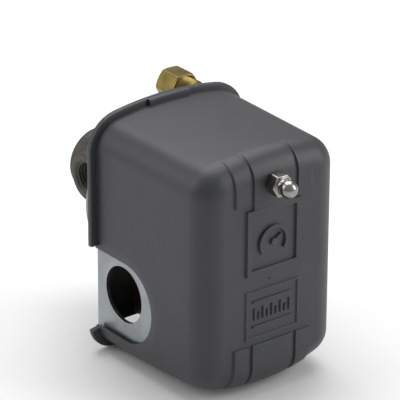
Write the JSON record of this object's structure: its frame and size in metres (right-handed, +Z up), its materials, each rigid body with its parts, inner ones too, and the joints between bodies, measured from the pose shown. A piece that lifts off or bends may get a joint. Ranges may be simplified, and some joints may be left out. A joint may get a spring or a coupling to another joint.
{
  "type": "pressure switch",
  "caption": "Pressure switch with a moulded cover over a steel frame, a cast pipe manifold, a diaphragm-driven contact lever and a brass unloader valve.",
  "frame": {"origin": "on the pressure axis, in the middle of the rear pipe port, 38 mm behind the base plate's back face", "axes": "+Y towards the pipe manifold, -Y towards the cover's front, +Z up"},
  "size_m": [0.071, 0.1209, 0.0972],
  "materials": {
    "cover_plastic": "satin moulded",
    "bright_nickel": "bright plated",
    "zinc_steel": "zinc plated",
    "green_screw": "satin",
    "die_cast": "die cast",
    "screw_steel": "zinc plated",
    "rubber": "matt",
    "cast_iron": "as cast",
    "tin_brass": "tin plated",
    "spring_steel": "drawn wire",
    "phenolic": "moulded",
    "brass": "machined",
    "silver": "silver",
    "black_plastic": "moulded"
  },
  "bodies": {
    "base": {"frame": "zinc_steel", "ground_screw": "green_screw", "diaphragm_flange": "die_cast", "flange_screws": "screw_steel", "diaphragm": "rubber", "manifold": "cast_iron", "pivot_pins": "screw_steel", "range_stud": "screw_steel", "range_spring": "spring_steel", "differential_stud": "screw_steel", "differential_spring": "spring_steel", "terminal_block": "phenolic", "terminal_plates": "brass", "fixed_contacts": "silver", "terminal_screws": "brass", "wire_clamps": "zinc_steel", "block_screws": "screw_steel", "carrier_pin": "screw_steel", "valve_body": "brass", "valve_spring": "spring_steel", "toggle_spring": "spring_steel", "compression_sleeve": "brass"},
    "cover": {"cover": "cover_plastic"},
    "acorn_nut": {"acorn_nut": "bright_nickel"},
    "lever": {"lever": "zinc_steel"},
    "plunger": {"plunger": "tin_brass"},
    "contact_carrier": {"contact_carrier": "black_plastic", "moving_contacts": "brass", "contact_springs": "spring_steel"},
    "valve_pin": {"valve_pin": "brass"},
    "range_spring_plate": {"range_spring_plate": "zinc_steel"},
    "range_nut": {"range_nut": "screw_steel"},
    "differential_washer": {"differential_washer": "zinc_steel"},
    "differential_nut": {"differential_nut": "screw_steel"},
    "compression_nut": {"compression_nut": "brass"}
  },
  "joints": [
    {"name": "cover_lift_off", "type": "slide", "parent": "base", "child": "cover", "axis": [0, -1, 0], "range_m": [0, 0.09]},
    {"name": "acorn_nut_turn", "type": "hinge", "parent": "cover", "child": "acorn_nut", "pos_m": [0, -0.108, 0.029], "axis": [0, -1, 0], "continuous": true},
    {"name": "lever_swing", "type": "hinge", "parent": "base", "child": "lever", "pos_m": [0, -0.047, -0.009], "axis": [1, 0, 0], "range_deg": [0, 3.2], "deforming": ["toggle_spring", "differential_spring", "range_spring"]},
    {"name": "plunger_travel", "type": "slide", "parent": "base", "child": "plunger", "axis": [0, -1, 0], "range_m": [0, 0.0006]},
    {"name": "contact_carrier_swing", "type": "hinge", "parent": "base", "child": "contact_carrier", "pos_m": [0, -0.07, -0.011], "axis": [-1, 0, 0], "range_deg": [0, 13]},
    {"name": "valve_pin_travel", "type": "slide", "parent": "base", "child": "valve_pin", "axis": [0, -1, 0], "range_m": [0, 0.0024], "deforming": ["valve_spring"]},
    {"name": "range_nut_advance", "type": "slide", "parent": "base", "child": "range_spring_plate", "axis": [0, 1, 0], "range_m": [0, 0.00397]},
    {"name": "range_nut_turn", "type": "hinge", "parent": "range_spring_plate", "child": "range_nut", "pos_m": [0, -0.088, 0.029], "axis": [0, 1, 0], "range_deg": [0, 1801]},
    {"name": "differential_nut_advance", "type": "slide", "parent": "base", "child": "differential_washer", "axis": [0, 1, 0], "range_m": [0, 0.00397]},
    {"name": "differential_nut_turn", "type": "hinge", "parent": "differential_washer", "child": "differential_nut", "pos_m": [-0.0145, -0.072, 0.014], "axis": [0, 1, 0], "range_deg": [0, 1801]},
    {"name": "compression_nut_turn", "type": "hinge", "parent": "base", "child": "compression_nut", "pos_m": [0.0228, -0.018, 0.0314], "axis": [0, 1, 0], "continuous": true}
  ],
  "couplings": [
    {"joint": "plunger_travel", "follows": "lever_swing", "m_per_rad": 0.009},
    {"joint": "contact_carrier_swing", "follows": "lever_swing", "ratio": 4},
    {"joint": "valve_pin_travel", "follows": "lever_swing", "m_per_rad": 0.0404},
    {"joint": "range_nut_turn", "follows": "range_nut_advance", "rad_per_m": 7915.8},
    {"joint": "differential_nut_turn", "follows": "differential_nut_advance", "rad_per_m": 7915.8}
  ]
}
